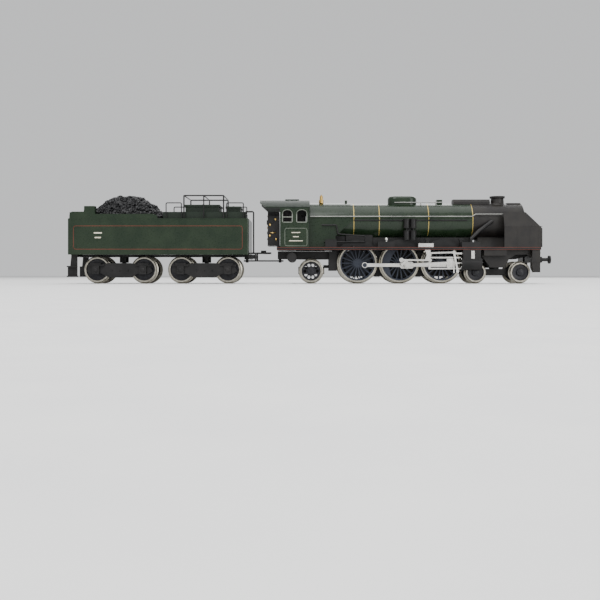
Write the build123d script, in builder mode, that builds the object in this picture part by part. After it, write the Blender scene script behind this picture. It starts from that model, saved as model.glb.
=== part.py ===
from build123d import *
import os
from math import cos, pi, radians, sin, sqrt, asin, degrees

# Model steam locomotive with bogie tender, for 16.5 mm gauge track. Millimetres.
# +X is the way the locomotive runs, +Z is up, and the near side is -Y.

RAIL = 0.8                      # rail head above the wheel flanges
HALF_LENGTH = 135.95
WHEEL_BACK = 7.2
WHEEL_FACE = 10.0

DRIVER_X = {"rear": 27.1, "main": 50.8, "front": 74.5}
DRIVER_TREAD = 10.8
DRIVER_Z = DRIVER_TREAD + RAIL
SPOKES = 18
CRANK_RADIUS = 4.15
CRANK_ANGLE = {1: -16.0, -1: 74.0}   # near side, far side
PIN = 0.8
PIN_BORE = 0.86

BOGIE_WHEEL_X = {"rear": 93.9, "front": 119.1}
BOGIE_TREAD = 5.6
TRAILING_X = 0.8
TRAILING_TREAD = 6.3
TENDER_TREAD = 7.1
TENDER_BOGIE_X = {"outer": -107.0, "inner": -59.4}
TENDER_HALF_BASE = 13.25

BOILER_Z = 35.5
BOILER_RADIUS = 10.4
WALL = 1.0
SMOKEBOX_X = 92.55
SMOKEBOX_FRONT = 121.5
BOARD_TOP = 20.5
BOARD_BOTTOM = 19.0
BOARD_HALF = 16.3
CAB_REAR = -16.65
CAB_FRONT = -0.65
ROOF_TIP = -28.15
CROSSHEAD_Z = DRIVER_Z
CROSSHEAD_X = 79.05
CYLINDER_X = (84.9, 96.4)

GEAR_MODULE = 0.5
DRIVER_GEAR_TEETH = 32
PINION_TEETH = 12
MOTOR_Z = DRIVER_Z + GEAR_MODULE * (DRIVER_GEAR_TEETH + PINION_TEETH) / 2

TENDER_REAR = -HALF_LENGTH + 0.7
TENDER_FRONT = -34.15
TENDER_HALF = 16.6
TENDER_FLOOR = 16.3
TENDER_DECK = 36.3
DRAWBAR_X = (-36.0, -17.0)
DRAWBAR_Z = 12.6

SIDES = {1: "near", -1: "far"}

os.makedirs("parts", exist_ok=True)


def save(piece, name):
    """Label a finished piece and write its STEP file."""
    piece.part.label = name
    export_step(piece.part, f"parts/{name}.step")


def block(low, high, mode=Mode.ADD):
    """Add a box between two corners."""
    centre = tuple((a + b) / 2 for a, b in zip(low, high))
    with Locations(centre):
        Box(*[b - a for a, b in zip(low, high)], mode=mode)


def plate(points, side, inner, outer, mode=Mode.ADD):
    """Extrude an X-Z outline from inner to outer distance off the centreline."""
    with BuildSketch(Plane.XZ.offset(side * inner)) as outline:
        with BuildLine():
            Polyline(*points, close=True)
        make_face()
    extrude(outline.sketch, amount=side * (outer - inner), mode=mode)


def rod_y(x, z, radius, side, inner, outer, mode=Mode.ADD):
    """Add a round bar along Y."""
    with Locations((x, -side * (inner + outer) / 2, z)):
        Cylinder(radius, abs(outer - inner), rotation=(90, 0, 0), mode=mode)


def rod_x(x0, x1, y, z, radius, mode=Mode.ADD):
    """Add a round bar along X."""
    with Locations(((x0 + x1) / 2, y, z)):
        Cylinder(radius, x1 - x0, rotation=(0, 90, 0), mode=mode)


def rod_z(x, y, z0, z1, radius, mode=Mode.ADD):
    """Add a round bar along Z."""
    with Locations((x, y, (z0 + z1) / 2)):
        Cylinder(radius, z1 - z0, mode=mode)


def pipe(points, radius, bend=0.7):
    """Sweep a round pipe along a line with rounded corners."""
    with BuildLine() as route:
        if len(points) == 2:
            Line(*points)
        else:
            FilletPolyline(*points, radius=bend)
    start = Plane(origin=route.line @ 0, z_dir=route.line % 0)
    with BuildSketch(start) as section:
        Circle(radius)
    sweep(section.sketch, path=route.line)


def cross_section(points, x0, x1, mode=Mode.ADD):
    """Extrude a Y-Z outline from x0 to x1."""
    with BuildSketch(Plane.YZ.offset(x0)) as outline:
        with BuildLine():
            Polyline(*points, close=True)
        make_face()
    extrude(outline.sketch, amount=x1 - x0, mode=mode)


def turned(points, x, z):
    """Turn a (radius, distance along Y) profile about a wheel's axis, on both sides."""
    for side in SIDES:
        with BuildSketch(Plane.XY.offset(z)) as profile:
            with BuildLine():
                Polyline(*[(x + r, -side * y) for r, y in points], close=True)
            make_face()
        revolve(profile.sketch, axis=Axis((x, 0, z), (0, 1, 0)))


def tyre_profile(bore, tread):
    """Flanged tyre: the flange is at the wheel's back."""
    return [
        (bore, WHEEL_BACK),
        (tread + RAIL - 0.15, WHEEL_BACK),
        (tread + RAIL, WHEEL_BACK + 0.2),
        (tread + RAIL - 0.1, WHEEL_BACK + 0.5),
        (tread + 0.1, WHEEL_BACK + 0.8),
        (tread, WHEEL_FACE - 0.15),
        (tread - 0.15, WHEEL_FACE),
        (bore, WHEEL_FACE),
    ]


def small_wheelset(name, x, tread, axle_end, spokes):
    """Axle with two dished wheels, in one solid."""
    z = tread + RAIL
    rim = tread - 1.1
    outline = [(0, 0), (1.0, 0), (1.0, 6.9), (1.9, 6.9), (1.9, 7.6), (rim, 7.9)]
    outline += [(rim, WHEEL_BACK)] + tyre_profile(rim, tread)[1:]
    outline += [(rim - 0.2, 9.2), (2.1, 9.0), (1.9, 10.2), (0.7, 10.4)]
    outline += [(0.7, axle_end), (0, axle_end)]
    with BuildPart() as wheelset:
        turned(outline, x, z)
        if spokes:
            with Locations(Location((x, 0, z), (90, 0, 0))):
                with PolarLocations((rim + 1.9) / 2, spokes):
                    Cylinder((rim - 1.9) * 0.28, 30, mode=Mode.SUBTRACT)
    save(wheelset, name)


def link_bar(side, inner, outer, points, eyes, widths, bore=PIN_BORE):
    """Flat rod through the given points, with a round eye and a bore at each."""
    with BuildSketch(Plane.XZ.offset(side * inner)) as outline:
        for (x0, z0), (x1, z1), width in zip(points, points[1:], widths):
            length = sqrt((x1 - x0) ** 2 + (z1 - z0) ** 2)
            angle = degrees(asin((z1 - z0) / length))
            with Locations(Location(((x0 + x1) / 2, (z0 + z1) / 2, 0), (0, 0, angle))):
                Rectangle(length, width)
        for (x, z), eye in zip(points, eyes):
            with Locations((x, z)):
                Circle(eye)
        for x, z in points:
            with Locations((x, z)):
                if bore:
                    Circle(bore, mode=Mode.SUBTRACT)
    extrude(outline.sketch, amount=side * (outer - inner))


def crank_pin(axle, side):
    """X and Z of the crank pin on one side of an axle."""
    angle = radians(CRANK_ANGLE[side])
    return (
        DRIVER_X[axle] + CRANK_RADIUS * cos(angle),
        DRIVER_Z + CRANK_RADIUS * sin(angle),
    )


def return_pin(side):
    """X and Z of the return crank's pin on the main axle."""
    angle = radians(CRANK_ANGLE[side] + 88)
    return DRIVER_X["main"] + 1.8 * cos(angle), DRIVER_Z + 1.8 * sin(angle)


def gear(teeth, x, z, y0, y1, first_angle):
    """Spur gear with plain flanked teeth; a tooth is centred on first_angle."""
    pitch = GEAR_MODULE * teeth / 2
    root = pitch - 1.25 * GEAR_MODULE
    tip = pitch + 0.8 * GEAR_MODULE
    base_half = 0.24 * 2 * pi / teeth * 1.25
    tip_half = 0.24 * 2 * pi / teeth * 0.40
    points = []
    for index in range(teeth):
        middle = radians(first_angle) + 2 * pi * index / teeth
        for radius, turn in [(root, -base_half), (tip, -tip_half), (tip, tip_half), (root, base_half)]:
            points.append((x + radius * cos(middle + turn), z + radius * sin(middle + turn)))
    with BuildSketch(Plane.XZ.offset(-y0)) as outline:
        with BuildLine():
            Polyline(*points, close=True)
        make_face()
    extrude(outline.sketch, amount=-(y1 - y0))


# Chassis block and keeper plate

with BuildPart() as chassis_frame:
    plate([(-8, 13.8), (16.8, 13.8), (17.6, 5.6), (86, 5.6), (88, 13.9), (118, 13.9), (124, 15.5),
           (124, 18.4), (-16.5, 18.4), (-16.5, 14.5), (-8, 14.5)], 1, -4.2, 4.2)
    for x in DRIVER_X.values():
        rod_y(x, DRIVER_Z, 1.56, 1, -6, 6, mode=Mode.SUBTRACT)
    rod_y(DRIVER_X["rear"], MOTOR_Z, 5.75, 1, -6, 6, mode=Mode.SUBTRACT)
    rod_z(106.5, 0, 9.5, 14.5, 1.2)
    rod_z(14.0, 0, 8.8, 14.6, 1.0)
    block((-18.3, -3, 14.0), (-12, 3, 18.4))
    rod_z(DRAWBAR_X[1], 0, 12.0, 14.2, PIN)
    for side in SIDES:
        block((11, -side * 5.5 - 1.3, 7.3), (15.5, -side * 5.5 + 1.3, 18.4))
        rod_y(-10.15, 14.8, 2.7, side, 2.0, 14.5)
save(chassis_frame, "chassis_frame")

with BuildPart() as keeper_plate:
    block((19, -4.0, 4.2), (84, 4.0, 5.6))
    for screw_x in (39.0, 62.6):
        rod_z(screw_x, 0, 3.9, 4.5, 1.5)
save(keeper_plate, "keeper_plate")

# Motor, its shaft and pinion

with BuildPart() as motor:
    with Locations((DRIVER_X["rear"], 1.3, MOTOR_Z)):
        Cylinder(5.6, 9.6, rotation=(90, 0, 0))
    rod_y(DRIVER_X["rear"], MOTOR_Z, 0.6, 1, -7, 5, mode=Mode.SUBTRACT)
save(motor, "motor")

with BuildPart() as motor_pinion:
    rod_y(DRIVER_X["rear"], MOTOR_Z, 0.54, 1, -5.9, 6.2)
    gear(PINION_TEETH, DRIVER_X["rear"], MOTOR_Z, -6.2, -4.6, -90 + 180 / PINION_TEETH)
save(motor_pinion, "motor_pinion")

# Boiler, smokebox and their mountings

with BuildPart() as boiler_shell:
    rod_x(14.55, SMOKEBOX_X, 0, BOILER_Z, BOILER_RADIUS)
    with BuildSketch(Plane.YZ.offset(-0.45)) as firebox_section:
        with BuildLine():
            Line((-10.7, BOILER_Z), (-10.9, 20.5))
            Line((-10.9, 20.5), (10.9, 20.5))
            Line((10.9, 20.5), (10.7, BOILER_Z))
            ThreePointArc((10.7, BOILER_Z), (0, BOILER_Z + 10.7), (-10.7, BOILER_Z))
        make_face()
    extrude(firebox_section.sketch, amount=23.8)
    plate([(24, 19), (24, BOILER_Z), (14.55, 26.8), (14.55, 19)], 1, -12, 12, mode=Mode.SUBTRACT)
    rod_x(0.55, SMOKEBOX_X - WALL, 0, BOILER_Z, BOILER_RADIUS - WALL, mode=Mode.SUBTRACT)
    block((0.55, -9.4, 20), (13.6, 9.4, BOILER_Z), mode=Mode.SUBTRACT)
    block((19, -7.0, 20), (35, 7.0, 31), mode=Mode.SUBTRACT)
    rod_z(21.05, 0, 45.5, 47.9, 0.7)
    block((73.2, -1.6, 44.8), (76.4, 1.6, 48.2))
    rod_z(53.4, 0, 45.2, 45.9, 1.2)
save(boiler_shell, "boiler_shell")

with BuildPart() as smokebox:
    rod_x(SMOKEBOX_X, SMOKEBOX_FRONT, 0, BOILER_Z, BOILER_RADIUS)
    rod_x(SMOKEBOX_X - 1, SMOKEBOX_FRONT - 2, 0, BOILER_Z, BOILER_RADIUS - WALL, mode=Mode.SUBTRACT)
    cross_section([(-7, BOARD_TOP), (7, BOARD_TOP), (5, 26.5), (-5, 26.5)], 96, 112)
    with BuildSketch(Plane.YZ.offset(SMOKEBOX_FRONT)) as door:
        with Locations((0, BOILER_Z)):
            Circle(8.6)
    extrude(door.sketch, amount=0.8)
    with BuildSketch(Plane.YZ.offset(SMOKEBOX_FRONT + 0.8)) as door_dome:
        with Locations((0, BOILER_Z)):
            Circle(8.2)
    extrude(door_dome.sketch, amount=1.0, taper=60)
    rod_x(SMOKEBOX_FRONT, SMOKEBOX_FRONT + 3, 0, BOILER_Z, 0.8)
    cross_section([(-3.4, 44.8), (3.4, 44.8), (3.4, 46.8), (2.4, 48.3), (-2.4, 48.3), (-3.4, 46.8)], 82.5, 103.5)
    rod_x(80, SMOKEBOX_X, 0, BOILER_Z, BOILER_RADIUS, mode=Mode.SUBTRACT)
    rod_x(92, SMOKEBOX_FRONT - 2, 0, BOILER_Z, BOILER_RADIUS - WALL, mode=Mode.SUBTRACT)
    cross_section([(-4, 44.5), (4, 44.5), (3.2, 46.2), (-3.2, 46.2)], 113.3, 121)
    rod_x(92, SMOKEBOX_FRONT - 2, 0, BOILER_Z, BOILER_RADIUS - WALL, mode=Mode.SUBTRACT)
save(smokebox, "smokebox")

with BuildPart() as chimney:
    with BuildSketch(Plane.XZ) as chimney_profile:
        with BuildLine():
            Polyline((108.4, 44.9), (113.2, 44.9), (112.2, 46.2), (112.0, 48.8), (112.75, 49.2),
                     (112.75, 50.2), (111.6, 50.2), (111.4, 46.5), (108.4, 46.5), close=True)
        make_face()
    revolve(axis=Axis((108.4, 0, 0), (0, 0, 1)))
    rod_x(100, 118, 0, BOILER_Z, BOILER_RADIUS, mode=Mode.SUBTRACT)
save(chimney, "chimney")

with BuildPart() as dome:
    with BuildSketch(Plane.XY.offset(44.2)):
        SlotOverall(16.5, 9.0)
    extrude(amount=6.1)
    fillet(dome.edges().group_by(Axis.Z)[-1], 2.0)
dome.part.locate(Location((53.4, 0, 0)))
with BuildPart() as dome_seated:
    add(dome.part)
    rod_x(40, 70, 0, BOILER_Z, BOILER_RADIUS, mode=Mode.SUBTRACT)
    rod_z(53.4, 0, 43, 46, 1.3, mode=Mode.SUBTRACT)
save(dome_seated, "dome")

with BuildPart() as safety_valves:
    for side in SIDES:
        rod_z(6.75, side * 1.9, 46.2, 48.0, 1.3)
        rod_z(6.75, side * 1.9, 48.0, 50.2, 0.9)
        rod_z(6.75, side * 1.9, 50.2, 51.0, 0.4)
save(safety_valves, "safety_valves")

with BuildPart() as handrails:
    for side in SIDES:
        pipe([(0.2, -side * 11.9, 37.9), (91.5, -side * 11.9, 37.9), (93.5, -side * 11.7, 39.2),
              (109.0, -side * 11.7, 39.2)], 0.28, bend=0.6)
        for x in (2.5, 24.5, 46.0, 68.0, 89.5):
            rod_y(x, 37.9, 0.22, side, 10.5 if x < 20 else 10.2, 11.9)
            with Locations((x, -side * 11.9, 37.9)):
                Sphere(0.45)
        for x in (96.0, 108.0):
            rod_y(x, 39.2, 0.22, side, 9.8, 11.7)
    pipe([(48.5, -5.0, 46.4), (76.0, -5.0, 46.4)], 0.25)
    for x in (63.5, 72.0):
        rod_z(x, -5.0, 44.8, 46.4, 0.3)
save(handrails, "handrails")

with BuildPart() as ballast_weight:
    rod_x(40.0, 90.5, 0, BOILER_Z, BOILER_RADIUS - WALL - 0.2)
save(ballast_weight, "ballast_weight")

# Running board with its splashers

with BuildPart() as running_board:
    block((-18.5, -BOARD_HALF, BOARD_BOTTOM), (129.2, BOARD_HALF, BOARD_TOP))
    block((14.4, -10.9, 18), (87.2, 10.9, 21), mode=Mode.SUBTRACT)
    block((-8, -10.2, 18), (9.0, 10.2, 19.6), mode=Mode.SUBTRACT)
    for side in SIDES:
        for x in DRIVER_X.values():
            for outer, mode in ((13.3, Mode.ADD), (12.3, Mode.SUBTRACT)):
                reach = (6.3, 11.5) if mode == Mode.ADD else (5.0, 10.9)
                with BuildSketch(Plane.XZ.offset(side * reach[0])) as arch:
                    with Locations((x, DRIVER_Z)):
                        Circle(outer)
                    with Locations((x, BOARD_BOTTOM + (0 if outer < 13 else 1) - 20)):
                        Rectangle(40, 40, mode=Mode.SUBTRACT)
                extrude(arch.sketch, amount=side * (reach[1] - reach[0]), mode=mode)
        block((84.85, -side * 15.0 - 1.2, BOARD_TOP), (95.15, -side * 15.0 + 1.2, 23.3))
        block((8.6, -side * 14.2 - 1.6, BOARD_TOP), (15.0, -side * 14.2 + 1.6, 24.8))
save(running_board, "running_board")

# Side equipment

with BuildPart() as air_pump:
    for x in (54.4, 58.1):
        rod_z(x, -13.0, 31.2, 36.4, 1.75)
        rod_z(x, -13.0, 24.6, 29.8, 1.75)
        rod_z(x, -13.0, 29.0, 32.0, 0.6)
        for z in (24.6, 29.3, 31.2, 35.9):
            rod_z(x, -13.0, z, z + 0.5, 2.0)
    block((55.2, -12.2, 26.0), (57.3, -8.9, 35.0))
    rod_x(-0.01 + 23.35, 92.0, 0, BOILER_Z, BOILER_RADIUS, mode=Mode.SUBTRACT)
save(air_pump, "air_pump")

with BuildPart() as boiler_pipes:
    for side in SIDES:
        y = -side * 12.0
        pipe([(6.7, y, 33.0), (15.0, y, 33.0), (15.8, y, 28.0), (31.2, y, 26.8), (31.2, y, 23.5),
              (8.0, y, 23.5)], 0.42)
        pipe([(25.0, -side * 10.75, 35.8), (89.0, -side * 10.75, 35.8)], 0.35)
        pipe([(90.5, -side * 12.6, 25.0), (95.0, -side * 12.0, 29.5), (103.0, -side * 11.7, 35.5)], 1.1, 2.0)
        pipe([(90.5, -side * 12.6, 20.5), (90.5, -side * 12.6, 25.3)], 1.1)
        block((38, -side * 13.6 - 1.7, BOARD_TOP), (47.5, -side * 13.6 + 1.7, 23.6))
save(boiler_pipes, "boiler_pipes")

with BuildPart() as side_fittings:
    for side in SIDES:
        block((60.8, -side * 15.0 - 0.6, BOARD_TOP), (69.2, -side * 15.0 + 0.6, 22.6))
        rod_z(43.0, -side * 13.6, 23.6, 24.6, 0.5)
        with Locations((43.0, -side * 13.6, 25.0)):
            Sphere(0.95)
save(side_fittings, "side_fittings")

# Cab

with BuildPart() as cab_shell:
    for side in SIDES:
        plate([(CAB_REAR, BOARD_TOP), (CAB_FRONT, BOARD_TOP), (CAB_FRONT, 42.4), (CAB_REAR, 42.4)],
              side, BOARD_HALF - 0.9, BOARD_HALF)
        for x0, x1 in ((-15.25, -9.85), (-7.35, -1.65)):
            middle, half = (x0 + x1) / 2, (x1 - x0) / 2
            with BuildSketch(Plane.XZ.offset(side * 14)) as window:
                with Locations((middle, 36.9)):
                    Rectangle(2 * half, 5.0)
                with Locations((middle, 39.4)):
                    Ellipse(half, 2.0)
            extrude(window.sketch, amount=side * 4, mode=Mode.SUBTRACT)
    with BuildSketch(Plane.YZ.offset(CAB_FRONT - 0.9)) as front_wall:
        with BuildLine():
            Line((-BOARD_HALF, BOARD_TOP), (BOARD_HALF, BOARD_TOP))
            Line((BOARD_HALF, BOARD_TOP), (BOARD_HALF, 42.4))
            ThreePointArc((BOARD_HALF, 42.4), (0, 47.0), (-BOARD_HALF, 42.4))
            Line((-BOARD_HALF, 42.4), (-BOARD_HALF, BOARD_TOP))
        make_face()
        for y in (-13.2, 13.2):
            with Locations((y, 37.4)):
                SlotOverall(6.2, 3.2, rotation=90, mode=Mode.SUBTRACT)
    extrude(front_wall.sketch, amount=0.9)
save(cab_shell, "cab_shell")

with BuildPart() as cab_roof:
    with BuildSketch(Plane.YZ.offset(ROOF_TIP)) as roof_section:
        with BuildLine():
            ThreePointArc((-BOARD_HALF, 42.4), (0, 47.0), (BOARD_HALF, 42.4))
            Line((BOARD_HALF, 42.4), (BOARD_HALF + 0.3, 43.0))
            ThreePointArc((BOARD_HALF + 0.3, 43.0), (0, 47.8), (-BOARD_HALF - 0.3, 43.0))
            Line((-BOARD_HALF - 0.3, 43.0), (-BOARD_HALF, 42.4))
        make_face()
    extrude(roof_section.sketch, amount=0.0 - ROOF_TIP)
    plate([(ROOF_TIP - 1, 41), (ROOF_TIP + 5.2, 41), (ROOF_TIP, 45.4), (ROOF_TIP - 1, 45.4)],
          1, -20, 20, mode=Mode.SUBTRACT)
    block((-14.0, -3.5, 46.6), (-6.0, 3.5, 48.3))
save(cab_roof, "cab_roof")

with BuildPart() as backhead:
    block((-23.9, -9.0, BOARD_TOP + 1.0), (-17.4, 9.0, 38.5))
    block((-18.5, -11.0, BOARD_TOP), (-16.8, 11.0, BOARD_TOP + 1.0))
    block((-23.9, -6.5, 38.5), (-17.4, 6.5, 40.8))
    for y in (-5, 0, 5):
        rod_x(-24.5, -23.8, y, 35, 1.2)
        rod_x(-24.3, -23.8, y, 29, 0.8)
    for side in SIDES:
        rod_y(-20.5, 30.5, 1.0, side, 8.9, 9.8)
        rod_y(-21.5, 35.0, 0.7, side, 8.9, 9.8)
save(backhead, "backhead")

# Front end

with BuildPart() as smoke_deflectors:
    for side in SIDES:
        outline = [(-side * y, z) for y, z in ((15.7, BOARD_TOP), (16.3, BOARD_TOP), (16.3, 32.1),
                                               (13.6, 40.2), (13.0, 40.0), (15.7, 31.9))]
        cross_section(outline, 108.65, 129.85)
    plate([(121.05, 42), (121.05, 40.3), (129.85, 30.9), (132, 30.9), (132, 42)], 1, -20, 20, mode=Mode.SUBTRACT)
save(smoke_deflectors, "smoke_deflectors")

with BuildPart() as buffer_beam:
    block((124.4, -15.6, 12.0), (128.9, 15.6, BOARD_BOTTOM))
    block((123.4, -4.3, 12.5), (125.0, 4.3, 18.9), mode=Mode.SUBTRACT)
    for side in SIDES:
        plate([(124.4, 12.2), (128.9, 12.2), (128.9, 6.4), (125.6, 6.4), (124.4, 9.0)], side, 11.0, 15.4)
        plate([(97.0, BOARD_BOTTOM), (97.0, 15.5), (101.5, 9.1), (110.0, 9.1), (112.2, 14.0), (116.0, 16.4),
               (122.0, 16.4), (124.6, 15.0), (124.6, BOARD_BOTTOM)], side, 11.5, 12.4)
        block((97.4, -side * 14.2 - 1.4, 15.7), (110.2, -side * 14.2 + 1.4, BOARD_BOTTOM))
save(buffer_beam, "buffer_beam")

with BuildPart() as front_buffers:
    for side in SIDES:
        rod_x(128.9, 131.2, side * 10.0, 13.6, 1.7)
        rod_x(131.2, 135.05, side * 10.0, 13.6, 1.0)
        rod_x(135.05, HALF_LENGTH, side * 10.0, 13.6, 2.3)
    block((128.9, -0.5, 13.0), (132.4, 0.5, 14.8))
save(front_buffers, "front_buffers")

# Cylinders, slide bars and fixed valve gear

with BuildPart() as cylinders:
    for side in SIDES:
        rod_x(*CYLINDER_X, -side * 12.2, CROSSHEAD_Z, 4.1)
        block((CYLINDER_X[0], -side * 9 - 2.2, 7.0), (CYLINDER_X[1], -side * 9 + 2.2, 16.0), mode=Mode.SUBTRACT)
        block((CYLINDER_X[0] + 0.8, -side * 13.7 - 2.4, 13.1), (CYLINDER_X[1] - 0.8, -side * 13.7 + 2.4, BOARD_BOTTOM))
        rod_x(CYLINDER_X[0] - 0.8, CYLINDER_X[0] + 1.5, -side * 12.2, CROSSHEAD_Z, 0.66, mode=Mode.SUBTRACT)
    block((CYLINDER_X[0] + 1.5, -13, 18.4), (CYLINDER_X[1] - 1.5, 13, BOARD_BOTTOM))
    for side in SIDES:
        rod_x(CYLINDER_X[0] - 1, CYLINDER_X[1] - 1.0, -side * 12.2, CROSSHEAD_Z, 0.66, mode=Mode.SUBTRACT)
save(cylinders, "cylinders")

with BuildPart() as slide_bars:
    for side in SIDES:
        y = -side * 11.95
        for z in (8.1, 14.3):
            block((68.0, y - 0.45, z), (CYLINDER_X[0], y + 0.45, z + 0.8))
        block((66.9, y - 0.45, 8.1), (68.0, y + 0.45, BOARD_BOTTOM))
save(slide_bars, "slide_bars")

with BuildPart() as valve_gear:
    for side in SIDES:
        plate([(64.6, 13.4), (67.3, 13.4), (68.2, 16.2), (67.3, BOARD_BOTTOM), (64.6, BOARD_BOTTOM), (65.6, 16.2)],
              side, 13.7, 14.2)
        link_bar(side, 13.7, 14.2, [(67.4, 17.2), (80.9, 17.6)], [0.7, 0.9], [0.9], bore=None)
        link_bar(side, 13.7, 14.2, [(80.9, 17.6), (82.9, 6.9)], [0.9, 0.8], [1.0], bore=None)
        link_bar(side, 13.7, 14.2, [(80.9, 17.0), (85.0, 17.0)], [0.6, 0.6], [0.9], bore=None)
save(valve_gear, "valve_gear")

# Driving wheelsets

for axle, x in DRIVER_X.items():
    with BuildPart() as wheels:
        rod_y(x, DRIVER_Z, 1.5, 1, -9.4, 9.4)
        for side in SIDES:
            pin_x, pin_z = crank_pin(axle, side)
            with BuildSketch(Plane.XZ.offset(side * 7.6)) as centre:
                with Locations((x, DRIVER_Z)):
                    Circle(9.9)
                    Circle(9.0, mode=Mode.SUBTRACT)
                    Circle(2.5)
                    with PolarLocations(5.6, SPOKES):
                        Rectangle(7.4, 0.6)
            extrude(centre.sketch, amount=side * 1.8)
            with BuildSketch(Plane.XZ.offset(side * 9.2)) as boss:
                with Locations((x, DRIVER_Z)):
                    Circle(2.0)
                with Locations((pin_x, pin_z)):
                    Circle(1.9)
                make_hull()
            extrude(boss.sketch, amount=side * 0.4)
            if axle == "main":
                back = radians(CRANK_ANGLE[side] + 180)
                with BuildSketch(Plane.XZ.offset(side * 7.6)) as weight:
                    with Locations((x, DRIVER_Z)):
                        Circle(9.2)
                    with Locations((x - 7.5 * cos(back), DRIVER_Z - 7.5 * sin(back))):
                        Circle(12.8, mode=Mode.SUBTRACT)
                extrude(weight.sketch, amount=side * 1.9)
            end = 13.6 if axle == "main" else 11.2
            rod_y(pin_x, pin_z, PIN, side, 9.4, end)
            if axle != "main":
                rod_y(pin_x, pin_z, 1.2, side, 11.15, 11.4)
        if axle == "rear":
            gear(DRIVER_GEAR_TEETH, x, DRIVER_Z, -6.2, -4.6, 90)
    save(wheels, f"driver_{axle}_wheels")
    with BuildPart() as tyres:
        turned(tyre_profile(9.9, DRIVER_TREAD), x, DRIVER_Z)
    save(tyres, f"driver_{axle}_tyres")

with BuildPart() as return_cranks:
    for side in SIDES:
        link_bar(side, 13.6, 14.1, [crank_pin("main", side), return_pin(side)], [1.3, 1.1], [1.4], bore=None)
        rod_y(*return_pin(side), 0.6, side, 14.0, 14.95)
save(return_cranks, "return_cranks")

# Rods, crank discs and crossheads

rod_length = sqrt((CROSSHEAD_X - crank_pin("main", 1)[0]) ** 2 + (CROSSHEAD_Z - crank_pin("main", 1)[1]) ** 2)
for side, word in SIDES.items():
    pins = [crank_pin(axle, side) for axle in DRIVER_X]
    main_x, main_z = crank_pin("main", side)
    drop = main_z - CROSSHEAD_Z
    cross_x = main_x + sqrt(rod_length ** 2 - drop ** 2)

    with BuildPart() as coupling_rod:
        link_bar(side, 10.4, 11.1, pins, [1.6, 2.1, 1.6], [1.9, 1.9])
        for x, z in pins[1:2]:
            plate([(x - 5, z), (x - 3, z + 1.9), (x - 1.2, z + 1.9), (x - 1.2, z - 1.9), (x - 3, z - 1.9)],
                  side, 10.4, 11.1)
            plate([(x + 5, z), (x + 3, z + 1.9), (x + 1.2, z + 1.9), (x + 1.2, z - 1.9), (x + 3, z - 1.9)],
                  side, 10.4, 11.1)
    save(coupling_rod, f"coupling_rod_{word}")

    with BuildPart() as main_rod:
        link_bar(side, 12.7, 13.4, [(main_x, main_z), (cross_x, CROSSHEAD_Z)], [1.7, 1.3], [1.7], bore=None)
        rod_y(main_x, main_z, PIN_BORE, side, 12.0, 14.0, mode=Mode.SUBTRACT)
        rod_y(cross_x, CROSSHEAD_Z, 0.7, side, 13.4, 13.6)
    save(main_rod, f"main_rod_{word}")

    start_x, start_z = return_pin(side)
    with BuildPart() as eccentric_rod:
        link_bar(side, 14.3, 14.8, [(start_x, start_z), (start_x + 16.2, start_z - 0.2)], [1.2, 0.8], [0.9], bore=None)
        rod_y(start_x, start_z, 0.66, side, 14.0, 15.0, mode=Mode.SUBTRACT)
    save(eccentric_rod, f"eccentric_rod_{word}")

    angle = radians(CRANK_ANGLE[side])
    disc_x = DRIVER_X["main"] + CRANK_RADIUS / 2 * cos(angle)
    disc_z = DRIVER_Z + CRANK_RADIUS / 2 * sin(angle)
    with BuildPart() as crank_disc:
        rod_y(disc_x, disc_z, 1.0, side, 9.75, 10.2)
    save(crank_disc, f"crank_disc_{word}")

    with BuildPart() as crosshead:
        plate([(cross_x - 1.9, 9.1), (cross_x + 2.1, 9.1), (cross_x + 2.1, 14.1), (cross_x - 1.9, 14.1)],
              side, 11.5, 12.4)
        plate([(cross_x + 1.6, 6.0), (cross_x + 2.3, 6.0), (cross_x + 2.3, 9.2), (cross_x + 1.6, 9.2)],
              side, 12.42, 13.3)
        block((cross_x + 1.6, -side * 12.4 - 0.9, CROSSHEAD_Z - 1), (cross_x + 2.6, -side * 12.4 + 0.9, CROSSHEAD_Z + 1))
        block((cross_x + 1.6, -side * 12.8 - 0.5, 8.95), (cross_x + 2.3, -side * 12.8 + 0.5, CROSSHEAD_Z))
        rod_x(cross_x + 2.4, cross_x + 11.0, -side * 12.2, CROSSHEAD_Z, 0.6)
    save(crosshead, f"crosshead_{word}")

# Front bogie and trailing truck

with BuildPart() as front_bogie_frame:
    block((90.5, -4.8, 4.6), (122.5, 4.8, 8.4))
    rod_z(106.5, 0, 8.0, 13.4, 2.8)
    rod_z(106.5, 0, 9.3, 14.0, 1.26, mode=Mode.SUBTRACT)
    for x in BOGIE_WHEEL_X.values():
        rod_y(x, BOGIE_TREAD + RAIL, 1.06, 1, -6, 6, mode=Mode.SUBTRACT)
save(front_bogie_frame, "front_bogie_frame")

for place, x in BOGIE_WHEEL_X.items():
    small_wheelset(f"bogie_wheelset_{place}", x, BOGIE_TREAD, 10.5, 0)

with BuildPart() as trailing_truck_frame:
    block((-6.5, -4.8, 5.4), (8.4, 4.8, 9.6))
    block((8.0, -2.4, 8.9), (14.0, 2.4, 10.6))
    rod_z(14.0, 0, 8.9, 10.6, 2.4)
    rod_z(14.0, 0, 8.0, 11.0, 1.06, mode=Mode.SUBTRACT)
    rod_y(TRAILING_X, TRAILING_TREAD + RAIL, 1.06, 1, -6, 6, mode=Mode.SUBTRACT)
save(trailing_truck_frame, "trailing_truck_frame")
small_wheelset("trailing_wheelset", TRAILING_X, TRAILING_TREAD, 10.6, 10)

# Drawbar

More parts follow.
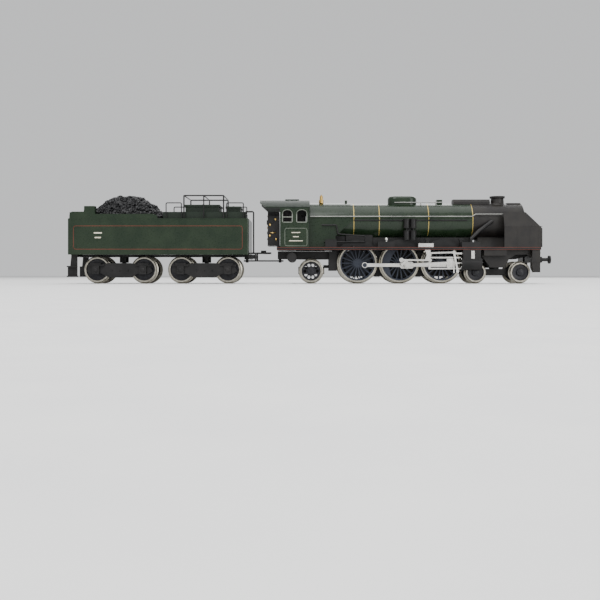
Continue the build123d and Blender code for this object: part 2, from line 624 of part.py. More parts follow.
with BuildPart() as drawbar:
    with BuildSketch(Plane.XY.offset(DRAWBAR_Z)) as bar:
        with Locations(((DRAWBAR_X[0] + DRAWBAR_X[1]) / 2, 0)):
            SlotCenterToCenter(DRAWBAR_X[1] - DRAWBAR_X[0], 4.0)
        with Locations((DRAWBAR_X[0], 0), (DRAWBAR_X[1], 0)):
            Circle(PIN_BORE, mode=Mode.SUBTRACT)
    extrude(bar.sketch, amount=0.8)
save(drawbar, "drawbar")

# Tender

with BuildPart() as tender_body:
    block((TENDER_REAR, -TENDER_HALF, TENDER_FLOOR), (TENDER_FRONT, TENDER_HALF, TENDER_DECK))
    fillet(tender_body.edges().filter_by(Axis.Z), 1.0)
    block((TENDER_REAR + 1.2, -TENDER_HALF + 1.2, TENDER_FLOOR - 1),
          (TENDER_FRONT - 1.2, TENDER_HALF - 1.2, TENDER_DECK - 1.0), mode=Mode.SUBTRACT)
    for side in SIDES:
        plate([(-134.2, TENDER_DECK - 0.5), (-86.4, TENDER_DECK - 0.5), (-84.9, 36.6), (-85.6, 38.3), (-87.2, 39.0),
               (-120.0, 39.0), (-120.1, 41.6), (-126.0, 41.6), (-126.2, 40.3), (-132.9, 40.3), (-134.2, 38.5)],
              side, TENDER_HALF - 1.0, TENDER_HALF)
        block((-126.0, -side * 14.5 - 2.1, TENDER_DECK - 0.5), (-120.1, -side * 14.5 + 2.1, 43.4))
    block((-134.2, -TENDER_HALF + 0.5, TENDER_DECK - 0.5), (-133.2, TENDER_HALF - 0.5, 40.0))
save(tender_body, "tender_body")

with BuildPart() as tender_coal:
    with BuildSketch(Plane.XY.offset(TENDER_DECK)):
        with Locations((-106.5, 0)):
            Rectangle(46.5, 24.0)
    with BuildSketch(Plane.XY.offset(43.5)):
        with Locations((-104.9, 0)):
            Rectangle(38.0, 24.0)
    with BuildSketch(Plane.XY.offset(50.8)):
        with Locations((-104.4, 0)):
            Rectangle(15.0, 9.0)
    loft()
save(tender_coal, "tender_coal")

with BuildPart() as tender_deck:
    block((-82.5, -13.0, TENDER_DECK), (-36.5, 13.0, 40.4))
    for x0, x1, top in ((-70.45, -51.45, 44.6), (-47.25, -39.45, 43.6)):
        block((x0, -9.0, 40.4), (x1, 9.0, top - 1.0))
        block((x0 - 0.5, -9.5, top - 1.0), (x1 + 0.5, 9.5, top))
save(tender_deck, "tender_deck")

with BuildPart() as tender_rails:
    for side in SIDES:
        y = -side * 14.8
        pipe([(-70.5, y, TENDER_DECK), (-70.5, y, 49.4), (-48.3, y, 49.4), (-48.3, y, TENDER_DECK)], 0.4)
        pipe([(-59.4, y, TENDER_DECK), (-59.4, y, 49.4)], 0.35)
        pipe([(-80.5, y, TENDER_DECK), (-80.5, y, 45.3), (-71.9, y, 45.3), (-71.9, y, TENDER_DECK)], 0.3)
        pipe([(-46.6, y, TENDER_DECK), (-46.6, y, 45.3), (-37.2, y, 45.3), (-37.2, y, TENDER_DECK)], 0.3)
    for x in (-70.5, -59.4, -48.3):
        pipe([(x, -14.8, 49.4), (x, 14.8, 49.4)], 0.35)
    for y in (-14.4, -10.6):
        pipe([(-34.1, y, 17.0), (-31.6, y, 17.0), (-31.6, y, 40.5), (-36.0, y, 40.5),
              (-36.0, y, TENDER_DECK)], 0.32)
    for index in range(7):
        pipe([(-31.6, -14.4, 17.5 + 3.4 * index), (-31.6, -10.6, 17.5 + 3.4 * index)], 0.28)
save(tender_rails, "tender_rails")

with BuildPart() as tender_chassis:
    block((-134.0, -5.0, 15.2), (-34.6, 5.0, TENDER_FLOOR))
    block((-134.0, -13.5, 15.2), (-130.8, 13.5, TENDER_FLOOR))
    for x in TENDER_BOGIE_X.values():
        rod_z(x, 0, 12.0, 15.4, 2.6)
        rod_z(x, 0, 6.5, 13.0, 1.2)
    block((-37.5, -1.9, 13.9), (-34.6, 1.9, 15.4))
    rod_z(DRAWBAR_X[0], 0, 12.0, 14.2, PIN)
    for side in SIDES:
        plate([(-HALF_LENGTH, 3.8), (-130.8, 3.8), (-130.8, 15.6), (-134.0, 15.6), (-134.6, 9.5), (-HALF_LENGTH, 9.5)],
              side, 12.0, 13.4)
        block((-HALF_LENGTH, -side * 13.7 - 1.8, 3.8), (-130.4, -side * 13.7 + 1.8, 4.5))
        block((-HALF_LENGTH, -side * 13.7 - 1.8, 9.3), (-130.8, -side * 13.7 + 1.8, 10.0))
        rod_x(-34.6, -31.0, side * 10.0, 15.4, 1.0)
        rod_x(-31.0, -30.2, side * 10.0, 15.4, 2.2)
    block((-34.6, -13.0, 14.0), (-33.6, 13.0, TENDER_FLOOR))
save(tender_chassis, "tender_chassis")

with BuildPart() as tender_weight:
    block((-128.0, -12.0, TENDER_FLOOR), (-45.0, 12.0, 24.0))
save(tender_weight, "tender_weight")

with BuildPart() as tender_coupler:
    with BuildSketch(Plane.XY.offset(17.0)) as loop:
        with Locations((-24.6, 0)):
            RectangleRounded(5.0, 9.0, 1.2)
            RectangleRounded(3.4, 7.4, 0.7, mode=Mode.SUBTRACT)
        with Locations((-29.6, 0)):
            Rectangle(6.2, 2.2)
    extrude(loop.sketch, amount=0.9)
    rod_z(-32.2, 0, 17.0, 17.9, 1.5)
    block((-28.0, -0.7, 17.9), (-25.0, 0.7, 19.0))
save(tender_coupler, "tender_coupler")

for place, middle in TENDER_BOGIE_X.items():
    with BuildPart() as bogie:
        z = TENDER_TREAD + RAIL
        block((middle - 3.4, -12.4, 9.0), (middle + 3.4, 12.4, 11.4))
        block((middle - 3.4, -4.0, 6.0), (middle + 3.4, 4.0, 9.2))
        rod_z(middle, 0, 5.0, 12.0, 1.26, mode=Mode.SUBTRACT)
        for side in SIDES:
            plate([(middle - 18.5, 7.0), (middle - 17.0, 10.2), (middle - 6.0, 11.6), (middle + 6.0, 11.6),
                   (middle + 17.0, 10.2), (middle + 18.5, 7.0), (middle + 16.0, 5.4), (middle + 10.0, 5.6),
                   (middle + 6.0, 3.4), (middle - 6.0, 3.4), (middle - 10.0, 5.6), (middle - 16.0, 5.4)],
                  side, 11.2, 12.4)
            for x in (middle - TENDER_HALF_BASE, middle + TENDER_HALF_BASE):
                block((x - 1.9, -side * 12.6 - 1.1, z - 2.6), (x + 1.9, -side * 12.6 + 1.1, z + 2.0))
                block((x - 4.6, -side * 12.6 - 0.8, z + 2.0), (x + 4.6, -side * 12.6 + 0.8, z + 2.9))
                block((x - 3.0, -side * 12.6 - 0.8, z + 2.9), (x + 3.0, -side * 12.6 + 0.8, z + 3.7))
                rod_y(x, z, 0.76, side, 10.9, 12.9, mode=Mode.SUBTRACT)
    save(bogie, f"tender_bogie_{place}")
    for end, shift in (("a", -TENDER_HALF_BASE), ("b", TENDER_HALF_BASE)):
        small_wheelset(f"tender_wheelset_{place}_{end}", middle + shift, TENDER_TREAD, 12.6, 0)
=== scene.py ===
import random
from math import cos, pi, radians, sin

import bmesh
import bpy
from mathutils import Matrix, Vector


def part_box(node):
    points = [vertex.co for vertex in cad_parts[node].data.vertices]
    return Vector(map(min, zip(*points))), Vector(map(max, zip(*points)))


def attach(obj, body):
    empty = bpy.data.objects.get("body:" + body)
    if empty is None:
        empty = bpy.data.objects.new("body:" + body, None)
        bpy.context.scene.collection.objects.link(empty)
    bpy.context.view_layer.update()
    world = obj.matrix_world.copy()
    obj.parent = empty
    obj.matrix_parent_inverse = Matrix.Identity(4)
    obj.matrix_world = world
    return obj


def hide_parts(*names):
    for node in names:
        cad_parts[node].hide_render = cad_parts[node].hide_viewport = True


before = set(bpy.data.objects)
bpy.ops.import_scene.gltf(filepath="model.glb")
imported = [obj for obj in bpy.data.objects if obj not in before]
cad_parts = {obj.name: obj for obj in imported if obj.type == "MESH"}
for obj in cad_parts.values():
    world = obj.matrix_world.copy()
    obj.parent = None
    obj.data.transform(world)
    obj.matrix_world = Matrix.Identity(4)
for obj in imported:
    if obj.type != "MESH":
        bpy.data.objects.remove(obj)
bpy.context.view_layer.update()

# The pieces are drawn in millimetres, in the frame's axes; the near side is -Y.

MM = 0.001
RNG = random.Random(7)
SIDES = (1, -1)
BOILER_Z = 35.5
BOILER_R = 10.4
BOARD_HALF = 16.3
BOARD_TOP = 20.5
TENDER_HALF = 16.6
CAB_WINDOWS = ((-15.25, -9.85), (-7.35, -1.65))
CYLINDER_Z = 11.6
BOGIE_PIVOTS = {"outer": -107.0, "inner": -59.4}
BOGIE_HALF_BASE = 13.25


# Materials: every one is procedural, in Object coordinates.

class Nodes:
    """Small builder for a node material."""

    def __init__(self, name, base, roughness, metallic=0.0, coat=0.0):
        self.mat = bpy.data.materials.new(name)
        self.mat.use_nodes = True
        self.tree = self.mat.node_tree
        self.shader = self.tree.nodes["Principled BSDF"]
        self.shader.inputs["Base Color"].default_value = (*base, 1)
        self.shader.inputs["Roughness"].default_value = roughness
        self.shader.inputs["Metallic"].default_value = metallic
        self.shader.inputs["Coat Weight"].default_value = coat
        self.shader.inputs["Specular IOR Level"].default_value = 0.5 if metallic else 0.28
        self.coords = self.tree.nodes.new("ShaderNodeTexCoord").outputs["Object"]

    def noise(self, scale, detail=4.0):
        node = self.tree.nodes.new("ShaderNodeTexNoise")
        node.inputs["Scale"].default_value = scale
        node.inputs["Detail"].default_value = detail
        self.tree.links.new(self.coords, node.inputs["Vector"])
        return node.outputs["Fac"]

    def ramp(self, factor, low, high, start=0.35, end=0.7):
        node = self.tree.nodes.new("ShaderNodeValToRGB")
        node.color_ramp.elements[0].position = start
        node.color_ramp.elements[0].color = (*low, 1)
        node.color_ramp.elements[1].position = end
        node.color_ramp.elements[1].color = (*high, 1)
        self.tree.links.new(factor, node.inputs["Fac"])
        return node.outputs["Color"]

    def math(self, kind, a, b):
        node = self.tree.nodes.new("ShaderNodeMath")
        node.operation = kind
        for socket, value in zip(node.inputs, (a, b)):
            if isinstance(value, (int, float)):
                socket.default_value = value
            else:
                self.tree.links.new(value, socket)
        return node.outputs["Value"]

    def axis(self, letter):
        node = self.tree.nodes.new("ShaderNodeSeparateXYZ")
        self.tree.links.new(self.coords, node.inputs["Vector"])
        return node.outputs[letter]

    def mix(self, factor, a, b):
        node = self.tree.nodes.new("ShaderNodeMix")
        node.data_type = "RGBA"
        self.tree.links.new(factor, node.inputs["Factor"])
        for index, value in ((6, a), (7, b)):
            if isinstance(value, tuple):
                node.inputs[index].default_value = (*value, 1)
            else:
                self.tree.links.new(value, node.inputs[index])
        return node.outputs[2]

    def colour(self, socket):
        self.tree.links.new(socket, self.shader.inputs["Base Color"])

    def rough(self, factor, low, high):
        node = self.tree.nodes.new("ShaderNodeMapRange")
        node.inputs["To Min"].default_value = low
        node.inputs["To Max"].default_value = high
        self.tree.links.new(factor, node.inputs["Value"])
        self.tree.links.new(node.outputs["Result"], self.shader.inputs["Roughness"])

    def bump(self, factor, strength, distance=0.00005):
        node = self.tree.nodes.new("ShaderNodeBump")
        node.inputs["Strength"].default_value = strength
        node.inputs["Distance"].default_value = distance
        self.tree.links.new(factor, node.inputs["Height"])
        self.tree.links.new(node.outputs["Normal"], self.shader.inputs["Normal"])


def paint(name, dark, light, roughness, coat=0.0, metallic=0.0, grain=900, strength=0.12):
    """Paint, plastic or metal with cloudy colour, fine grain and uneven gloss."""
    build = Nodes(name, dark, roughness, metallic, coat)
    cloud = build.noise(140)
    fine = build.noise(grain, 6)
    build.colour(build.ramp(cloud, dark, light))
    build.rough(fine, roughness - 0.08, roughness + 0.1)
    build.bump(fine, strength)
    return build.mat


def wheel_metal(name, x, z, rim):
    """Dark wheel centre with a bright tread and rim, by the distance from the axle."""
    build = Nodes(name, (0.05, 0.05, 0.06), 0.35, 0.0)
    dx = build.math("SUBTRACT", build.axis("X"), x)
    dz = build.math("SUBTRACT", build.axis("Z"), z)
    square = build.math("ADD", build.math("MULTIPLY", dx, dx), build.math("MULTIPLY", dz, dz))
    outside = build.math("GREATER_THAN", build.math("SQRT", square, 0.0), rim)
    fine = build.noise(700, 5)
    dark = build.ramp(fine, (0.008, 0.008, 0.010), (0.02, 0.02, 0.025))
    bright = build.ramp(fine, (0.26, 0.24, 0.20), (0.46, 0.44, 0.38))
    build.colour(build.mix(outside, dark, bright))
    build.tree.links.new(outside, build.shader.inputs["Metallic"])
    build.bump(fine, 0.08)
    return build.mat


GREEN = paint("green_paint", (0.007, 0.016, 0.007), (0.013, 0.024, 0.011), 0.28, coat=0.12)
# Darker copy of the green paint for the cab roof and tender deck: the darker tone is painted shade on these
# top faces; the higher roughness gives a duller gloss.
GREEN_TOP_SHADE = paint("green_top_painted_shade", (0.005, 0.011, 0.006), (0.009, 0.017, 0.009), 0.55)
BLACK = paint("black_paint", (0.004, 0.004, 0.004), (0.010, 0.009, 0.009), 0.42)
PLASTIC = paint("black_plastic", (0.005, 0.005, 0.005), (0.012, 0.011, 0.011), 0.50, strength=0.2)
SMOKE = paint("smoke_black", (0.007, 0.006, 0.006), (0.016, 0.014, 0.012), 0.44)
NICKEL = paint("bright_nickel", (0.62, 0.61, 0.58), (0.80, 0.79, 0.76), 0.24, metallic=0.9, strength=0.04)
TYRE = paint("tyre_nickel", (0.30, 0.28, 0.23), (0.48, 0.46, 0.40), 0.26, metallic=1.0, strength=0.04)
SPOKE = paint("spoke_blue_black", (0.012, 0.015, 0.024), (0.024, 0.029, 0.042), 0.40)
RAIL_WIRE = paint("rail_wire", (0.22, 0.22, 0.21), (0.34, 0.34, 0.32), 0.35, metallic=0.9, strength=0.05)
BRASS = paint("bright_brass", (0.50, 0.32, 0.09), (0.72, 0.50, 0.18), 0.25, metallic=1.0, strength=0.05)
GOLD = paint("gold_line", (0.40, 0.29, 0.07), (0.56, 0.42, 0.14), 0.34, metallic=0.5)
CAST = paint("die_casting", (0.10, 0.10, 0.105), (0.18, 0.18, 0.185), 0.45, metallic=0.8, strength=0.25)
RED = paint("red_line", (0.10, 0.022, 0.012), (0.14, 0.032, 0.02), 0.45)
CREAM = paint("cream_mark", (0.55, 0.52, 0.40), (0.68, 0.64, 0.52), 0.5)
GREY = paint("grey_frame", (0.16, 0.18, 0.15), (0.24, 0.25, 0.22), 0.45)
COAL = paint("coal_black", (0.004, 0.004, 0.005), (0.018, 0.018, 0.019), 0.42, grain=1600, strength=0.5)


def coat_node(name, *materials):
    """Give a CAD node its finish."""
    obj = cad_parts[name]
    obj.data.materials.clear()
    for material in materials:
        obj.data.materials.append(material)


# The cab roof and the tender deck take the darker green, which is painted shade.
FINISH = {
    "boiler_shell": GREEN, "dome": GREEN, "cab_shell": GREEN, "cab_roof": GREEN_TOP_SHADE, "tender_body": GREEN,
    "smokebox": SMOKE, "chimney": SMOKE, "smoke_deflectors": SMOKE, "safety_valves": BRASS,
    "handrails": RAIL_WIRE, "side_fittings": NICKEL, "slide_bars": NICKEL, "valve_gear": NICKEL,
    "return_cranks": NICKEL, "running_board": BLACK, "air_pump": BLACK, "boiler_pipes": BLACK,
    "cylinders": BLACK, "backhead": PLASTIC, "buffer_beam": SMOKE, "front_buffers": PLASTIC,
    "chassis_frame": PLASTIC, "keeper_plate": PLASTIC, "motor": CAST, "motor_pinion": BRASS,
    "ballast_weight": CAST, "tender_weight": CAST, "tender_coal": COAL, "tender_deck": GREEN_TOP_SHADE,
    "tender_rails": BLACK, "tender_chassis": PLASTIC, "tender_coupler": PLASTIC, "drawbar": PLASTIC,
    "front_bogie_frame": PLASTIC, "trailing_truck_frame": PLASTIC,
}
for word in ("near", "far"):
    for name in ("coupling_rod", "main_rod", "eccentric_rod", "crank_disc", "crosshead"):
        FINISH[f"{name}_{word}"] = NICKEL
for axle in ("rear", "main", "front"):
    FINISH[f"driver_{axle}_wheels"] = SPOKE
    FINISH[f"driver_{axle}_tyres"] = TYRE
for place in ("outer", "inner"):
    FINISH[f"tender_bogie_{place}"] = PLASTIC
for name, material in FINISH.items():
    coat_node(name, material)

SMALL_WHEELS = [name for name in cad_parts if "wheelset" in name]
for name in SMALL_WHEELS:
    low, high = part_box(name)
    radius = (high[2] - low[2]) / 2
    coat_node(name, wheel_metal(f"{name}_metal", (low[0] + high[0]) / 2, low[2] + radius, radius - 0.0017))


# Mesh helpers

def piece(name, bm, body, material, smooth=False):
    """Turn a bmesh into a piece that rides on a body."""
    mesh = bpy.data.meshes.new(name)
    bm.normal_update()
    bm.to_mesh(mesh)
    bm.free()
    for polygon in mesh.polygons:
        polygon.use_smooth = smooth
    mesh.materials.append(material)
    obj = bpy.data.objects.new(name, mesh)
    bpy.context.scene.collection.objects.link(obj)
    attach(obj, body)
    return obj


def add_box(bm, low, high):
    """Box between two corners, in millimetres."""
    corners = [
        bm.verts.new((x * MM, y * MM, z * MM))
        for x in (low[0], high[0]) for y in (low[1], high[1]) for z in (low[2], high[2])
    ]
    for a, b, c, d in ((0, 1, 3, 2), (4, 6, 7, 5), (0, 4, 5, 1), (2, 3, 7, 6), (0, 2, 6, 4), (1, 5, 7, 3)):
        bm.faces.new((corners[a], corners[b], corners[c], corners[d]))


def add_button(bm, centre, normal, radius, height, steps=10):
    """Low domed button, such as a rivet or bolt head, in millimetres."""
    frame_matrix = Vector(normal).to_track_quat("Z", "Y").to_matrix()
    rings = []
    for part, lift in ((1.0, 0.0), (0.92, 0.6), (0.55, 1.0)):
        ring = []
        for index in range(steps):
            turn = 2 * pi * index / steps
            local = Vector((radius * part * cos(turn), radius * part * sin(turn), height * lift))
            ring.append(bm.verts.new((Vector(centre) + frame_matrix @ local) * MM))
        rings.append(ring)
    for lower, upper in zip(rings, rings[1:]):
        for index in range(steps):
            after = (index + 1) % steps
            bm.faces.new((lower[index], lower[after], upper[after], upper[index]))
    bm.faces.new(rings[-1])
    bm.faces.new(list(reversed(rings[0])))


def add_outline(bm, points, side, face, line, raise_by=0.06):
    """Closed raised line on a side face: points are X, Z, in millimetres."""
    for (x0, z0), (x1, z1) in zip(points, points[1:] + points[:1]):
        along = Vector((x1 - x0, z1 - z0)).normalized()
        across = Vector((-along.y, along.x)) * line / 2
        start, end = Vector((x0, z0)) - along * line / 2, Vector((x1, z1)) + along * line / 2
        corners = [start + across, end + across, end - across, start - across]
        outer = [bm.verts.new((p.x * MM, -side * (face + raise_by) * MM, p.y * MM)) for p in corners]
        inner = [bm.verts.new((p.x * MM, -side * (face - 0.05) * MM, p.y * MM)) for p in corners]
        bm.faces.new(outer)
        bm.faces.new(list(reversed(inner)))
        for index in range(4):
            after = (index + 1) % 4
            bm.faces.new((outer[index], inner[index], inner[after], outer[after]))


def rectangle(x0, x1, z0, z1):
    """Corners of a rectangle with cut-in corners."""
    cut = 0.8
    return [(x0 + cut, z0), (x1 - cut, z0), (x1, z0 + cut), (x1, z1 - cut), (x1 - cut, z1),
            (x0 + cut, z1), (x0, z1 - cut), (x0, z0 + cut)]


# Boiler bands: one thin raised gold band at each place

def boiler_band(name, x, width, raise_by, material, radius=BOILER_R):
    """Thin band round the top and sides of the boiler."""
    bm = bmesh.new()
    steps = 56
    rings = []
    for dx, dr in ((-width / 2, -0.02), (-width / 2, raise_by), (width / 2, raise_by), (width / 2, -0.02)):
        ring = []
        for index in range(steps):
            turn = radians(-52 + 284 * index / (steps - 1))
            y, z = (radius + dr) * cos(turn), BOILER_Z + (radius + dr) * sin(turn)
            ring.append(bm.verts.new(((x + dx) * MM, y * MM, z * MM)))
        rings.append(ring)
    for first, second in zip(rings, rings[1:] + rings[:1]):
        for index in range(steps - 1):
            bm.faces.new((first[index], first[index + 1], second[index + 1], second[index]))
    bm.faces.new([ring[0] for ring in rings])
    bm.faces.new([ring[-1] for ring in reversed(rings)])
    bmesh.ops.recalc_face_normals(bm, faces=bm.faces)
    return piece(name, bm, "locomotive", material, smooth=False)


for index, x in enumerate((25.0, 39.4, 67.3, 92.3)):
    boiler_band(f"boiler_band_{index}", x, 0.36, 0.07, GOLD)

# Cab: window frames, sash bar, border panel with plain dashes

frames = bmesh.new()
panel = bmesh.new()
dashes = bmesh.new()
for side in SIDES:
    for x0, x1 in CAB_WINDOWS:
        middle, half = (x0 + x1) / 2, (x1 - x0) / 2
        arch = [(x0, 34.4), (x1, 34.4)]
        arch += [(middle + half * cos(radians(a)), 39.4 + 2.0 * sin(radians(a))) for a in range(0, 181, 20)]
        add_outline(frames, arch, side, BOARD_HALF, 0.4, 0.12)
    add_box(frames, (-15.2, -side * 16.0 - 0.15, 37.1), (-9.9, -side * 16.0 + 0.15, 37.5))
    add_outline(panel, rectangle(-13.95, -1.55, 21.2, 31.0), side, BOARD_HALF, 0.16)
    for row, (x0, x1) in enumerate(((-10.2, -5.4), (-9.4, -6.2), (-11.6, -4.0))):
        z = 28.6 - 2.3 * row
        add_box(dashes, (x0, -side * BOARD_HALF - 0.05, z - 0.22), (x1, -side * BOARD_HALF + 0.05, z + 0.22))
piece("cab_window_frames", frames, "locomotive", GREY)
piece("cab_panel_line", panel, "locomotive", GREY)
piece("cab_dashes", dashes, "locomotive", CREAM)

# Dark weight inside the cab, seen through the windows

inside = bmesh.new()
add_box(inside, (-14.6, -7.5, 20.6), (-2.2, 7.5, 42.8))
bmesh.ops.bevel(inside, geom=list(inside.edges), offset=0.6 * MM, segments=2, affect="EDGES")
for side in SIDES:
    for x, z in ((-12.5, 38.0), (-8.5, 36.0), (-4.5, 38.5)):
        add_button(inside, (x, -side * 7.5, z), (0, -side, 0), 0.8, 0.5)
piece("cab_weight", inside, "locomotive", PLASTIC)

# Running board edge lines, and the dark weight block seen under the boiler

board_lines = bmesh.new()
for side in SIDES:
    add_box(board_lines, (-18.3, -side * BOARD_HALF - 0.07, 20.2), (128.9, -side * BOARD_HALF + 0.07, 20.4))
    add_box(board_lines, (-18.3, -side * BOARD_HALF - 0.07, 19.05), (128.9, -side * BOARD_HALF + 0.07, 19.2))
piece("running_board_lines", board_lines, "locomotive", RED)

core = bmesh.new()
add_box(core, (36.0, -6.1, 18.6), (92.0, 6.1, 26.4))
add_box(core, (13.0, -6.1, 18.6), (20.5, 6.1, 30.0))
add_box(core, (20.5, -6.9, 19.0), (36.0, -6.4, 29.6))
add_box(core, (20.5, 6.4, 19.0), (36.0, 6.9, 29.6))
for side in SIDES:
    for index in range(9):
        add_button(core, (38.5 + 6.2 * index, -side * 6.1, 22.5), (0, -side, 0), 0.5, 0.3, 8)
long_edges = [edge for edge in core.edges if edge.calc_length() > 3 * MM]
bmesh.ops.bevel(core, geom=long_edges, offset=0.2 * MM, segments=1, affect="EDGES")
piece("under_boiler_block", core, "locomotive", PLASTIC)

# Underside of the barrel where it leaves the firebox

throat = bmesh.new()
THROAT_R = BOILER_R - 0.02
STEPS = 36
ends = []
for x in (14.7, 24.3):
    turns = [radians(176 + 188 * index / STEPS) for index in range(STEPS + 1)]
    rounds = [(THROAT_R * cos(turn), BOILER_Z + THROAT_R * sin(turn)) for turn in turns]
    ends.append([throat.verts.new((x * MM, y * MM, z * MM)) for y, z in rounds])
for index in range(STEPS):
    throat.faces.new((ends[0][index], ends[0][index + 1], ends[1][index + 1], ends[1][index]))
throat.faces.new((ends[0][0], ends[1][0], ends[1][-1], ends[0][-1]))
throat.faces.new(ends[0])
throat.faces.new(list(reversed(ends[1])))
bmesh.ops.recalc_face_normals(throat, faces=throat.faces)
piece("barrel_throat", throat, "locomotive", GREEN)

brackets = bmesh.new()
for side in SIDES:
    for x in (24.5, 46.5, 65.0, 88.0):
        add_box(brackets, (x - 0.35, -side * 13.0 - 1.2, 20.5), (x + 0.35, -side * 13.0 + 1.2, 21.6))
        add_button(brackets, (x, -side * 14.5, 20.5), (0, 0, 1), 0.6, 0.4, 8)
    for x in (66.0, 85.0):
        add_box(brackets, (x - 0.8, -side * 12.6 - 0.9, 20.5), (x + 0.8, -side * 12.6 + 0.9, 25.6))
        add_box(brackets, (x - 1.3, -side * 12.6 - 1.3, 24.6), (x + 1.3, -side * 12.6 + 1.3, 25.2))
piece("board_brackets", brackets, "locomotive", BLACK)

# Backhead fittings

gauges = bmesh.new()
for side in SIDES:
    for x, z in ((-22.5, 33.4), (-19.4, 36.4), (-22.6, 27.2), (-19.0, 25.2)):
        add_button(gauges, (x, -side * 9.0, z), (0, -side, 0), 0.7, 0.5)
    add_box(gauges, (-22.8, -side * 9.2 - 0.2, 28.6), (-19.0, -side * 9.2 + 0.2, 29.1))
for y, z in ((-3.5, 32.0), (3.5, 32.0), (0.0, 38.8), (-2.0, 25.5), (2.0, 25.5)):
    add_button(gauges, (-23.9, y, z), (-1, 0, 0), 0.7, 0.5)
piece("backhead_gauges", gauges, "locomotive", BRASS, smooth=True)

# Rivets along the running board and on the deflectors

rivets = bmesh.new()
for side in SIDES:
    for index in range(46):
        add_button(rivets, (-16.0 + 3.1 * index, -side * BOARD_HALF, 19.75), (0, -side, 0), 0.22, 0.1, 6)
    for x in (115.4, 123.2):
        for index in range(5):
            add_button(rivets, (x, -side * BOARD_HALF, 22 + 2.2 * index), (0, -side, 0), 0.18, 0.08, 6)
piece("locomotive_rivets", rivets, "locomotive", SMOKE, smooth=True)

seams = bmesh.new()
for side in SIDES:
    for x in (115.9, 122.9, 127.8):
        face = -side * BOARD_HALF
        add_box(seams, (x - 0.12, face - 0.06, 20.8), (x + 0.12, face + 0.06, 32.0))
    add_box(seams, (108.7, -side * BOARD_HALF - 0.08, 31.9), (129.8, -side * BOARD_HALF + 0.08, 32.2))
piece("deflector_seams", seams, "locomotive", SMOKE)

bolts = bmesh.new()
for side in SIDES:
    for index in range(8):
        turn = 2 * pi * index / 8
        for x, normal in ((96.4, 1), (84.9, -1)):
            y, z = 12.6 + 3.0 * cos(turn), CYLINDER_Z + 3.2 * sin(turn)
            if y > 11.6:
                add_button(bolts, (x, -side * y, z), (normal, 0, 0), 0.35, 0.2, 6)
    add_box(bolts, (90.2, -side * 16.2 - 0.15, 14.1), (92.0, -side * 16.2 + 0.15, 18.4))
piece("cylinder_trim", bolts, "locomotive", NICKEL, smooth=False)

# Smokebox door straps and the bolts round the door

door = bmesh.new()
for z in (32.2, 38.8):
    add_box(door, (122.2, -7.6, z - 0.4), (122.8, 4.0, z + 0.4))
for index in range(12):
    turn = 2 * pi * index / 12
    add_button(door, (122.3, 8.1 * cos(turn), BOILER_Z + 8.1 * sin(turn)), (1, 0, 0), 0.4, 0.3, 6)
piece("door_straps", door, "locomotive", BLACK)

# Lamps on the buffer beam

lamps = bmesh.new()
for y in (-12.4, 12.4):
    add_button(lamps, (128.9, y, 17.2), (1, 0, 0), 1.2, 1.1, 18)
piece("front_lamps", lamps, "locomotive", NICKEL, smooth=True)

# Tender lining and marks

lining = bmesh.new()
marks = bmesh.new()
ribs = bmesh.new()
for side in SIDES:
    add_outline(lining, rectangle(-131.9, -37.7, 19.3, 32.3), side, TENDER_HALF, 0.3)
    add_box(ribs, (-134.9, -side * TENDER_HALF - 0.1, 36.0), (-34.5, -side * TENDER_HALF + 0.1, 36.5))
    for z, x0, x1 in ((28.4, -120.5, -116.0), (25.8, -120.0, -116.6)):
        add_box(marks, (x0, -side * TENDER_HALF - 0.05, z - 0.35), (x1, -side * TENDER_HALF + 0.05, z + 0.35))
piece("tender_lining", lining, "tender", RED)
piece("tender_marks", marks, "tender", CREAM)
piece("tender_beading", ribs, "tender", GREEN)

lids = bmesh.new()
for x0, x1, top in ((-70.9, -51.0, 44.6), (-47.7, -39.0, 43.6)):
    add_box(lids, (x0, -9.4, top - 0.1), (x1, 9.4, top + 0.15))
    for y in (-6, 0, 6):
        add_button(lids, ((x0 + x1) / 2, y, top + 0.15), (0, 0, 1), 0.8, 0.4)
piece("tender_lids", lids, "tender", GREEN)

# Coal: one heap of separate lumps over the closed CAD mound


def coal_height(x, y):
    """Top of the CAD mound in millimetres."""
    across = max(0.0, abs(y) / 12.0)
    along = max(0.0, (abs(x + 104.9) - 5.0) / 17.0)
    ripple = 0.5 * sin(x * 0.9) * cos(y * 0.8)
    return 50.2 + ripple - 11.0 * min(1.0, along) ** 1.5 - 11.5 * across ** 2


coal = bmesh.new()
COLUMNS, ROWS = 48, 28
LUMPS = 1500
top = []
for column in range(COLUMNS + 1):
    line = []
    for row in range(ROWS + 1):
        x = -127.0 + 43.5 * column / COLUMNS
        y = -12.0 + 24.0 * row / ROWS
        z = max(37.2, coal_height(x, y) - 1.2 + RNG.uniform(-0.5, 0.5))
        line.append(coal.verts.new((x * MM, y * MM, z * MM)))
    top.append(line)
for first, second in zip(top, top[1:]):
    for row in range(ROWS):
        coal.faces.new((first[row], second[row], second[row + 1], first[row + 1]))
rim = [line[0] for line in top] + top[-1][1:] + [line[-1] for line in reversed(top[:-1])] + top[0][-2:0:-1]
base = [coal.verts.new((v.co.x, v.co.y, 36.4 * MM)) for v in rim]
for index in range(len(rim)):
    after = (index + 1) % len(rim)
    coal.faces.new((rim[index], base[index], base[after], rim[after]))
coal.faces.new(base)
bmesh.ops.recalc_face_normals(coal, faces=coal.faces)
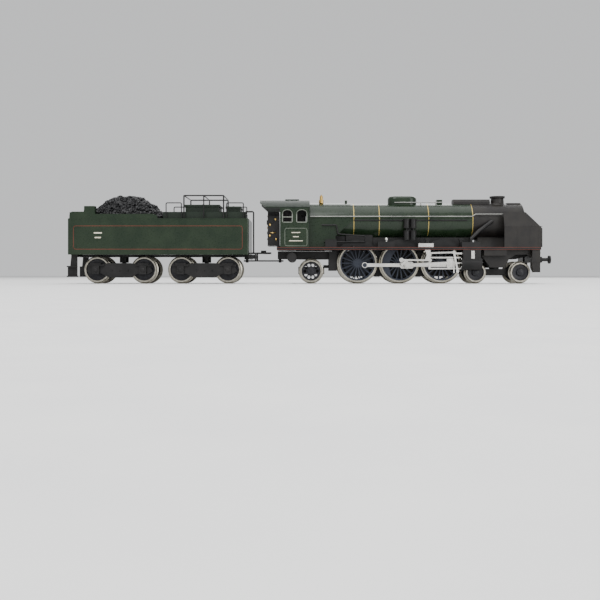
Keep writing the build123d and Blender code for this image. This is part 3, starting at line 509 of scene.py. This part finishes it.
for index in range(LUMPS):
    x = RNG.uniform(-126.4, -84.0)
    y = RNG.uniform(-11.6, 11.6)
    lump = bmesh.ops.create_icosphere(coal, subdivisions=1, radius=RNG.uniform(0.6, 1.3) * MM)["verts"]
    z = min(max(38.0, coal_height(x, y) - 0.7), 49.8)
    place = Matrix.Translation(Vector((x, y, z)) * MM)
    turn = Matrix.Rotation(RNG.uniform(0, 2 * pi), 4, Vector((RNG.random(), RNG.random(), 0.3)).normalized())
    scale = Matrix.Diagonal((RNG.uniform(0.8, 1.2), RNG.uniform(0.6, 1.1), RNG.uniform(0.5, 0.9), 1))
    for vert in lump:
        vert.co = vert.co * RNG.uniform(0.8, 1.15)
    bmesh.ops.transform(coal, matrix=place @ turn @ scale, verts=lump)
heap = piece("coal_lumps", coal, "tender", COAL)
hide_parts("tender_coal")

# Bogie springs and axle box lids

for place, middle in BOGIE_PIVOTS.items():
    leaves = bmesh.new()
    for side in SIDES:
        for x in (middle - BOGIE_HALF_BASE, middle + BOGIE_HALF_BASE):
            add_button(leaves, (x, -side * 13.7, 7.6), (0, -side, 0), 1.3, 0.4, 14)
            for index in range(4):
                half = 4.6 - 0.9 * index
                z = 10.0 + 0.42 * index
                add_box(leaves, (x - half, -side * 13.1 - 0.5, z), (x + half, -side * 13.1 + 0.5, z + 0.3))
        for x in (middle - 4.5, middle, middle + 4.5):
            add_button(leaves, (x, -side * 12.4, 7.4), (0, -side, 0), 0.5, 0.35)
    piece(f"bogie_springs_{place}", leaves, f"tender_bogie_{place}", PLASTIC)

# Stage, light and camera

floor_bm = bmesh.new()
for corner in ((-3, -3), (3, -3), (3, 3), (-3, 3)):
    floor_bm.verts.new((*corner, 0))
floor_bm.faces.new(floor_bm.verts)
floor_mesh = bpy.data.meshes.new("floor")
floor_bm.to_mesh(floor_mesh)
floor_bm.free()
floor = bpy.data.objects.new("floor", floor_mesh)
floor_mesh.materials.append(paint("floor_pale", (0.76, 0.76, 0.76), (0.80, 0.80, 0.79), 0.7, strength=0.02))
bpy.context.scene.collection.objects.link(floor)


def area_light(name, place, size, power, target=(0, 0, 0.025)):
    data = bpy.data.lights.new(name, "AREA")
    data.size = size
    data.energy = power
    light = bpy.data.objects.new(name, data)
    light.location = place
    light.rotation_euler = (Vector(target) - Vector(place)).to_track_quat("-Z", "Y").to_euler()
    bpy.context.scene.collection.objects.link(light)


area_light("key", (-0.25, -0.75, 0.75), 0.6, 8)
area_light("fill", (0.6, -0.7, 0.3), 0.6, 4)
area_light("top", (0, -0.1, 0.9), 0.8, 5)
area_light("back", (0.2, 0.8, 0.6), 0.7, 5)

world = bpy.data.worlds.new("studio")
world.use_nodes = True
world.node_tree.nodes["Background"].inputs["Color"].default_value = (0.93, 0.94, 0.95, 1)
world.node_tree.nodes["Background"].inputs["Strength"].default_value = 0.8
bpy.context.scene.world = world

camera_data = bpy.data.cameras.new("camera")
camera_data.lens = 50
camera_data.sensor_width = 36
camera_data.clip_start = 0.01
camera_data.shift_y = -0.042
camera = bpy.data.objects.new("camera", camera_data)
camera.location = (-0.0055, -0.4815, 0.005)
camera.rotation_euler = (radians(90), 0, 0)
bpy.context.scene.collection.objects.link(camera)
bpy.context.scene.camera = camera
